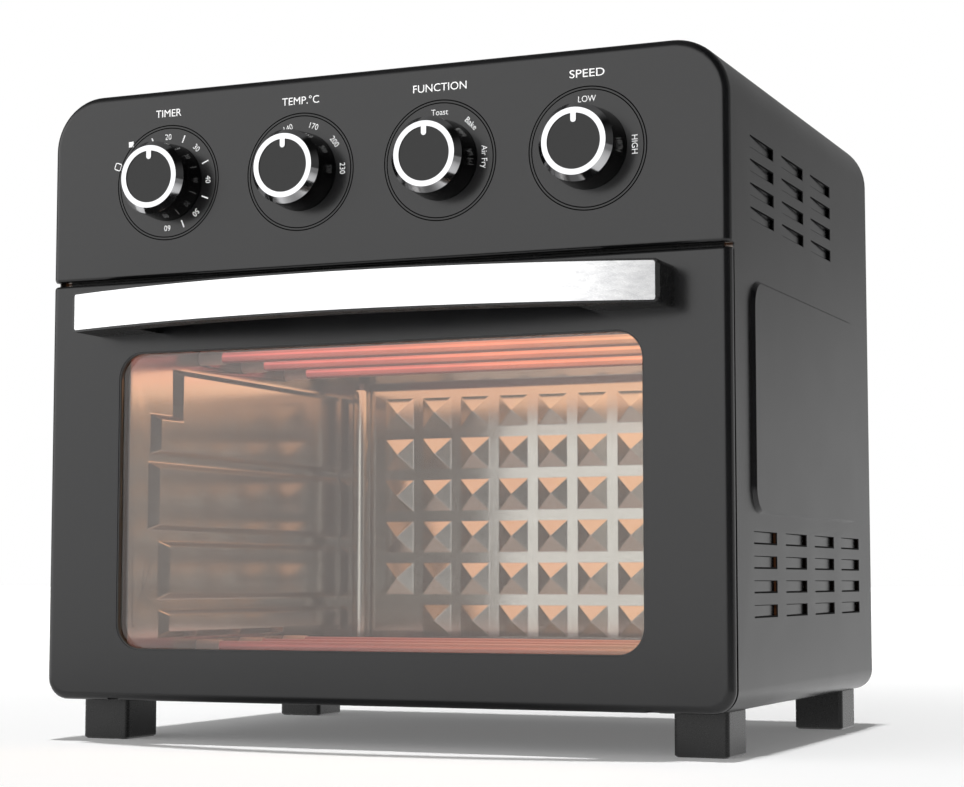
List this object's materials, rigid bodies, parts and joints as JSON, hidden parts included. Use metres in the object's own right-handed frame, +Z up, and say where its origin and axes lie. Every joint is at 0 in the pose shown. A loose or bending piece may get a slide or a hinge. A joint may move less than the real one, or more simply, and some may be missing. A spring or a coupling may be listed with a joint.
{
  "type": "toaster oven",
  "caption": "Countertop toaster oven with a drop-down glass door, bowed bar handle, turning control knobs, louvred casing, heating tubes, stamped-steel cavity and a top fan.",
  "frame": {"origin": "centre of the whole object's box, on the plane the feet stand on", "axes": "+X to the user's right when facing the door, +Y from the door to the back, +Z up"},
  "size_m": [0.4044, 0.35, 0.363],
  "materials": {
    "casing_black": "satin powder coat, near black",
    "front_grey": "satin fine-textured dark grey",
    "cavity_steel": "satin stamped steel",
    "heating_tube": "hot heating tube, glowing",
    "ceramic": "unglazed white ceramic",
    "plated_steel": "zinc plated",
    "motor_metal": "laminated core and wound coil",
    "fan_aluminium": "plain",
    "control_body": "phenolic and plated steel",
    "knob_black": "gloss black skirt, satin dark grey face",
    "knob_chrome": "bright ring and pointer",
    "brass": "plain",
    "glass": "clear tempered glass",
    "seal_rubber": "silicone",
    "black_plastic": "satin moulded",
    "brushed_strip": "brushed along its length",
    "white_print": "screen-printed dial scales, on the visual model only",
    "black_print": "black lines round the dials, on the visual model only"
  },
  "bodies": {
    "root": {"outer_wrap": "casing_black", "base_plate": "casing_black", "back_panel": "casing_black", "front_frame": "cavity_steel", "control_panel": "front_grey", "cavity_left_wall": "cavity_steel", "cavity_right_wall": "cavity_steel", "cavity_ceiling": "cavity_steel", "cavity_floor": "cavity_steel", "cavity_back_wall": "cavity_steel", "cavity_corner_posts": "cavity_steel", "upper_heater_front": "heating_tube", "upper_heater_middle": "heating_tube", "upper_heater_rear": "heating_tube", "lower_heater_front": "heating_tube", "lower_heater_middle": "heating_tube", "lower_heater_rear": "heating_tube", "heater_insulators": "ceramic", "crumb_tray": "cavity_steel", "fan_housing": "plated_steel", "fan_motor": "motor_metal", "timer_unit": "control_body", "timer_bell": "plated_steel", "thermostat": "control_body", "function_switch": "control_body", "speed_switch": "control_body", "control_nuts": "plated_steel", "hinge_bracket_left": "plated_steel", "hinge_bracket_right": "plated_steel", "foot_front_left": "black_plastic", "foot_front_right": "black_plastic", "foot_rear_left": "black_plastic", "foot_rear_right": "black_plastic", "foot_screws": "plated_steel", "case_screws": "plated_steel", "cord_gland": "black_plastic"},
    "door": {"door_frame": "front_grey", "door_glass": "glass", "door_inner_frame": "cavity_steel", "door_seal": "seal_rubber", "door_handle": "black_plastic", "handle_trim": "brushed_strip", "handle_screws": "plated_steel", "door_hinge_pins": "plated_steel", "door_arm_left": "plated_steel", "door_arm_right": "plated_steel"},
    "fan_rotor": {"fan_impeller": "fan_aluminium", "fan_shaft": "plated_steel"},
    "timer_control": {"timer_knob": "knob_black", "timer_knob_ring": "knob_chrome", "timer_shaft": "brass"},
    "temperature_control": {"temperature_knob": "knob_black", "temperature_knob_ring": "knob_chrome", "temperature_shaft": "brass"},
    "function_control": {"function_knob": "knob_black", "function_knob_ring": "knob_chrome", "function_shaft": "brass"},
    "speed_control": {"speed_knob": "knob_black", "speed_knob_ring": "knob_chrome", "speed_shaft": "brass"}
  },
  "joints": [
    {"name": "door_hinge", "type": "hinge", "parent": "root", "child": "door", "pos_m": [0, -0.1198, 0.0265], "axis": [1, 0, 0], "range_deg": [0, 80], "stiffness_Nm_per_rad": 0.6, "springref_deg": -40.11},
    {"name": "timer_turn", "type": "hinge", "parent": "root", "child": "timer_control", "pos_m": [-0.12465, -0.124, 0.3102], "axis": [0, 1, 0], "range_deg": [-90, 180]},
    {"name": "temperature_turn", "type": "hinge", "parent": "root", "child": "temperature_control", "pos_m": [-0.04155, -0.124, 0.3102], "axis": [0, 1, 0], "range_deg": [-88, 90]},
    {"name": "function_turn", "type": "hinge", "parent": "root", "child": "function_control", "pos_m": [0.04155, -0.124, 0.3102], "axis": [0, 1, 0], "range_deg": [-45, 90]},
    {"name": "speed_turn", "type": "hinge", "parent": "root", "child": "speed_control", "pos_m": [0.12465, -0.124, 0.3102], "axis": [0, 1, 0], "range_deg": [0, 90]},
    {"name": "fan_spin", "type": "hinge", "parent": "root", "child": "fan_rotor", "pos_m": [0, 0.0195, 0.25], "axis": [0, 0, 1], "continuous": true}
  ]
}
